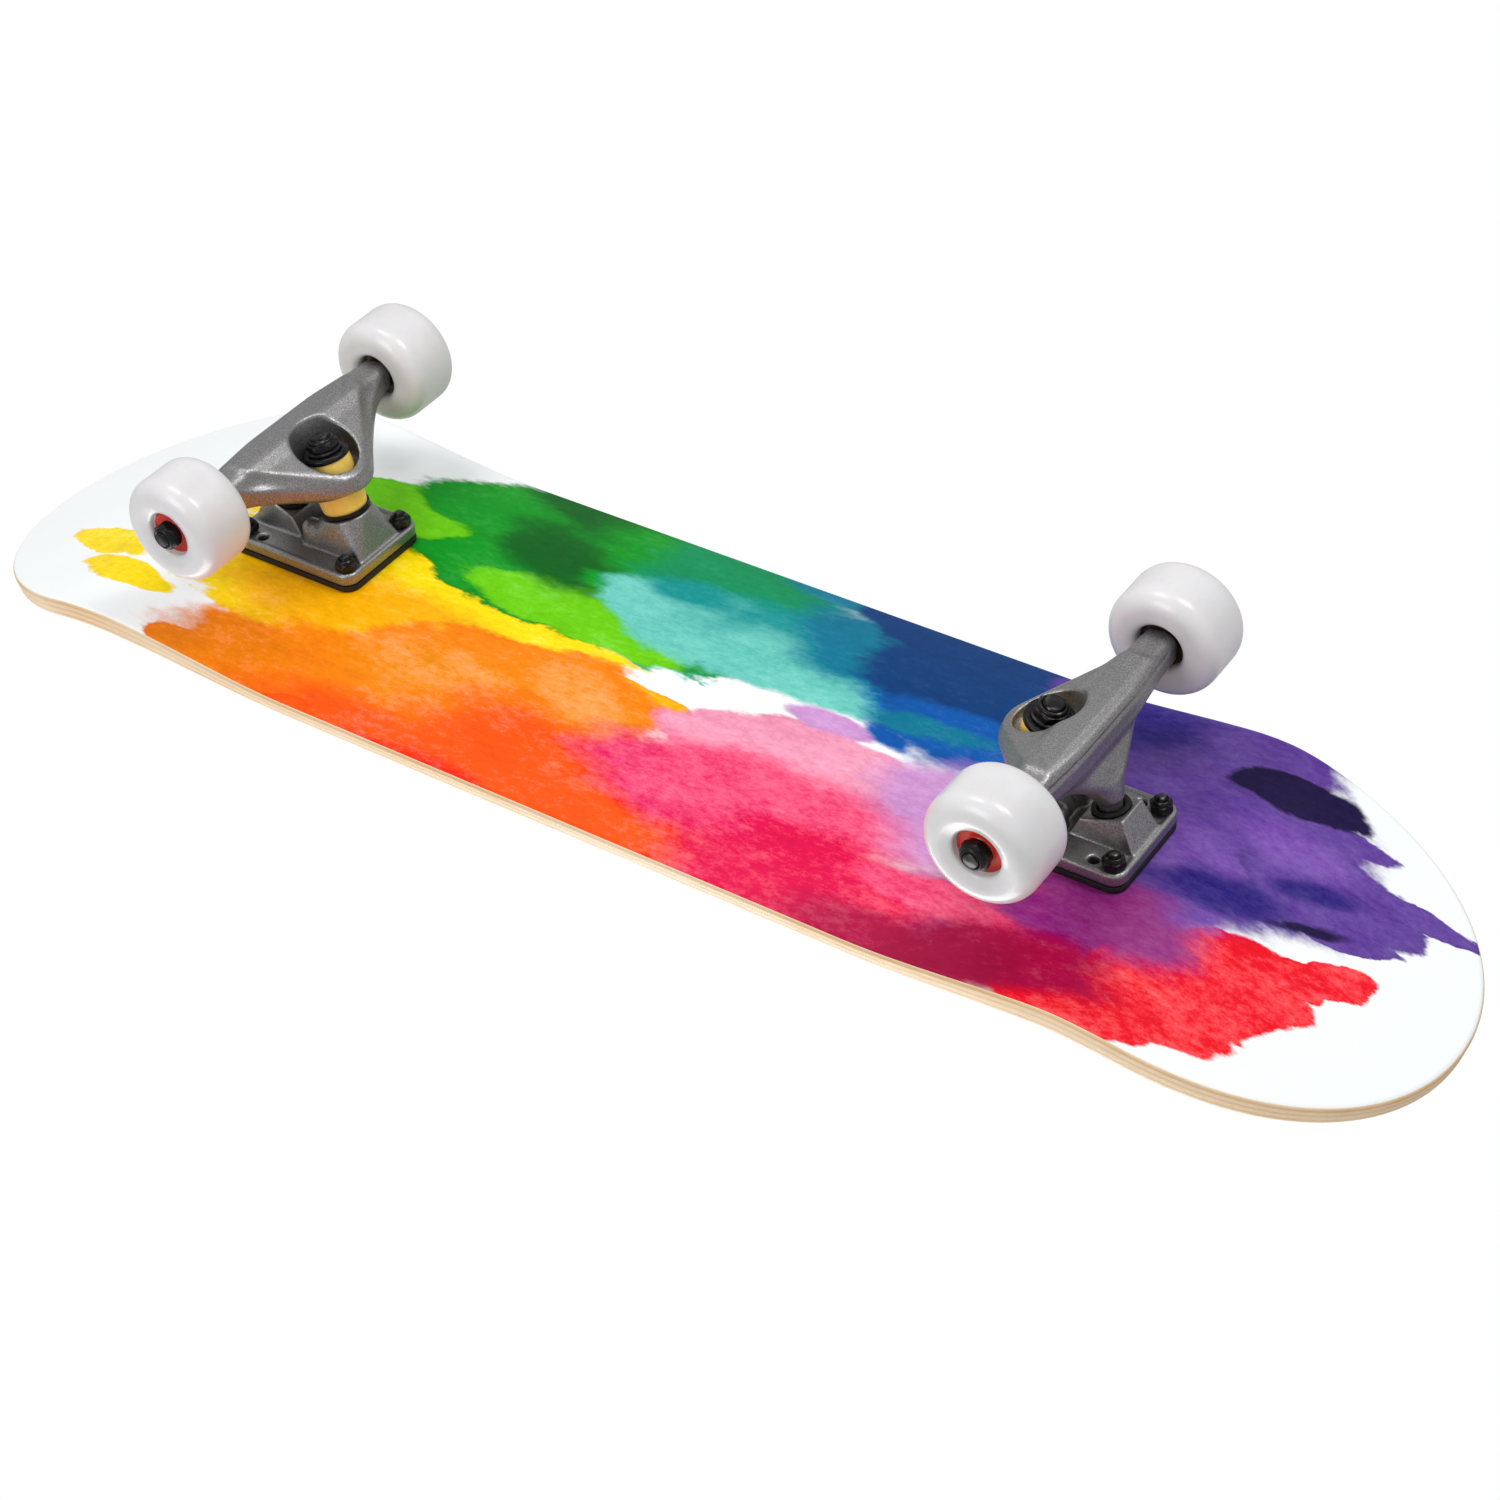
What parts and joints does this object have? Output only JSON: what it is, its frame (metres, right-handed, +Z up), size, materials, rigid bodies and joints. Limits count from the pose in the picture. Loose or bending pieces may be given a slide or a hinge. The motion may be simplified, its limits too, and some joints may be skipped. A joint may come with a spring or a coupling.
{
  "type": "skateboard",
  "caption": "Double-kick street skateboard with concave maple deck, rainbow watercolour underside, cast trucks that steer on bushings and white urethane wheels on bearings.",
  "frame": {"origin": "on the ground under the middle of the board's length, between the wheels", "axes": "+X towards the nose, +Y towards the board's left side, +Z up"},
  "size_m": [0.8046, 0.2, 0.1432],
  "materials": {
    "wood": "clear-coated maple with a printed graphic underneath",
    "grip": "matt black silicon-carbide grit",
    "rubber": "satin black",
    "cast_metal": "raw sand-cast, tumbled",
    "black_steel": "black oxide",
    "steel": "bright zinc",
    "bushing": "yellow urethane, satin",
    "urethane": "white urethane, glossy",
    "bearing": "steel with red rubber shields"
  },
  "bodies": {
    "root": {"deck": "wood", "grip_tape": "grip", "bolt_front_outer_left": "black_steel", "bolt_front_outer_right": "black_steel", "bolt_front_inner_left": "black_steel", "bolt_front_inner_right": "black_steel", "bolt_rear_outer_left": "black_steel", "bolt_rear_outer_right": "black_steel", "bolt_rear_inner_left": "black_steel", "bolt_rear_inner_right": "black_steel", "nut_front_outer_left": "black_steel", "nut_front_outer_right": "black_steel", "nut_front_inner_left": "black_steel", "nut_front_inner_right": "black_steel", "nut_rear_outer_left": "black_steel", "nut_rear_outer_right": "black_steel", "nut_rear_inner_left": "black_steel", "nut_rear_inner_right": "black_steel", "front_riser_pad": "rubber", "front_baseplate": "cast_metal", "front_kingpin": "black_steel", "front_kingpin_nut": "black_steel", "front_pivot_cup": "rubber", "front_washer_boardside": "black_steel", "front_washer_roadside": "black_steel", "front_bushing_boardside": "bushing", "front_bushing_roadside": "bushing", "rear_riser_pad": "rubber", "rear_baseplate": "cast_metal", "rear_kingpin": "black_steel", "rear_kingpin_nut": "black_steel", "rear_pivot_cup": "rubber", "rear_washer_boardside": "black_steel", "rear_washer_roadside": "black_steel", "rear_bushing_boardside": "bushing", "rear_bushing_roadside": "bushing"},
    "front_left_wheel": {"front_left_wheel": "urethane", "front_left_outer_bearing": "bearing", "front_left_inner_bearing": "bearing"},
    "front_right_wheel": {"front_right_wheel": "urethane", "front_right_outer_bearing": "bearing", "front_right_inner_bearing": "bearing"},
    "front_hanger": {"front_hanger": "cast_metal", "front_axle": "black_steel", "front_left_bearing_spacer": "steel", "front_left_axle_nut": "black_steel", "front_right_bearing_spacer": "steel", "front_right_axle_nut": "black_steel"},
    "rear_left_wheel": {"rear_left_wheel": "urethane", "rear_left_outer_bearing": "bearing", "rear_left_inner_bearing": "bearing"},
    "rear_right_wheel": {"rear_right_wheel": "urethane", "rear_right_outer_bearing": "bearing", "rear_right_inner_bearing": "bearing"},
    "rear_hanger": {"rear_hanger": "cast_metal", "rear_axle": "black_steel", "rear_left_bearing_spacer": "steel", "rear_left_axle_nut": "black_steel", "rear_right_bearing_spacer": "steel", "rear_right_axle_nut": "black_steel"}
  },
  "joints": [
    {"name": "front_steer", "type": "hinge", "parent": "root", "child": "front_hanger", "pos_m": [0.1904, 0, 0.04249], "axis": [0.7812, 0, 0.6243], "range_deg": [-12, 12], "stiffness_Nm_per_rad": 60, "deforming": ["front_bushing_boardside", "front_bushing_roadside"]},
    {"name": "front_left_wheel_spin", "type": "hinge", "parent": "front_hanger", "child": "front_left_wheel", "pos_m": [0.2118, 0.0758, 0.027], "axis": [0, 1, 0], "continuous": true},
    {"name": "front_right_wheel_spin", "type": "hinge", "parent": "front_hanger", "child": "front_right_wheel", "pos_m": [0.2118, -0.0758, 0.027], "axis": [0, 1, 0], "continuous": true},
    {"name": "rear_steer", "type": "hinge", "parent": "root", "child": "rear_hanger", "pos_m": [-0.2042, 0, 0.04249], "axis": [-0.7812, 0, 0.6243], "range_deg": [-12, 12], "stiffness_Nm_per_rad": 60, "deforming": ["rear_bushing_boardside", "rear_bushing_roadside"]},
    {"name": "rear_left_wheel_spin", "type": "hinge", "parent": "rear_hanger", "child": "rear_left_wheel", "pos_m": [-0.2256, 0.0758, 0.027], "axis": [0, 1, 0], "continuous": true},
    {"name": "rear_right_wheel_spin", "type": "hinge", "parent": "rear_hanger", "child": "rear_right_wheel", "pos_m": [-0.2256, -0.0758, 0.027], "axis": [0, 1, 0], "continuous": true}
  ]
}
